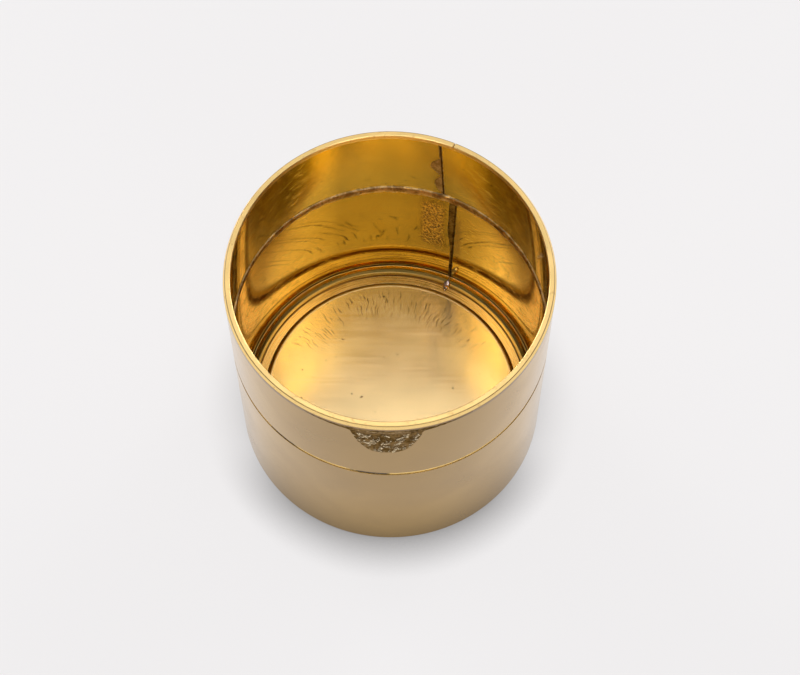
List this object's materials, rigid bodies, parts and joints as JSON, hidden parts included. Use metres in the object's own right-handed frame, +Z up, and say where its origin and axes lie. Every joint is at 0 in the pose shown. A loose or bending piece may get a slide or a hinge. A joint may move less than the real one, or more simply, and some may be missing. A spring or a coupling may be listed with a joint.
{
  "type": "canister",
  "caption": "Open round brass canister of soldered sheet: stacked bands, square rim ring, moulded ring inside the foot, and a rough half-moon patch under the rim.",
  "frame": {"origin": "middle of the underside, where the canister stands", "axes": "+Z up along the canister's axis, -Y towards the half-moon patch under the rim, +X to the right seen from that side"},
  "size_m": [0.08, 0.08, 0.075],
  "materials": {
    "polished_brass": "polished outside, brushed and scratched inside",
    "rim_brass": "filed and worn",
    "rough_brass": "crackled, dull in the hollows and bright on the ridges",
    "moulding_brass": "drawn lines along the moulding",
    "floor_brass": "fine straight brushing",
    "solder": "dull and uneven",
    "bright_solder": "bright dab"
  },
  "bodies": {
    "root": {"rim_ring": "rim_brass", "rim_solder": "solder", "upper_band": "polished_brass", "upper_seam_solder": "solder", "half_moon_patch": "rough_brass", "joint_solder": "solder", "lower_band": "polished_brass", "lower_seam_solder": "solder", "foot_ring": "moulding_brass", "foot_ring_solder": "bright_solder", "floor_plate": "floor_brass"}
  },
  "joints": []
}
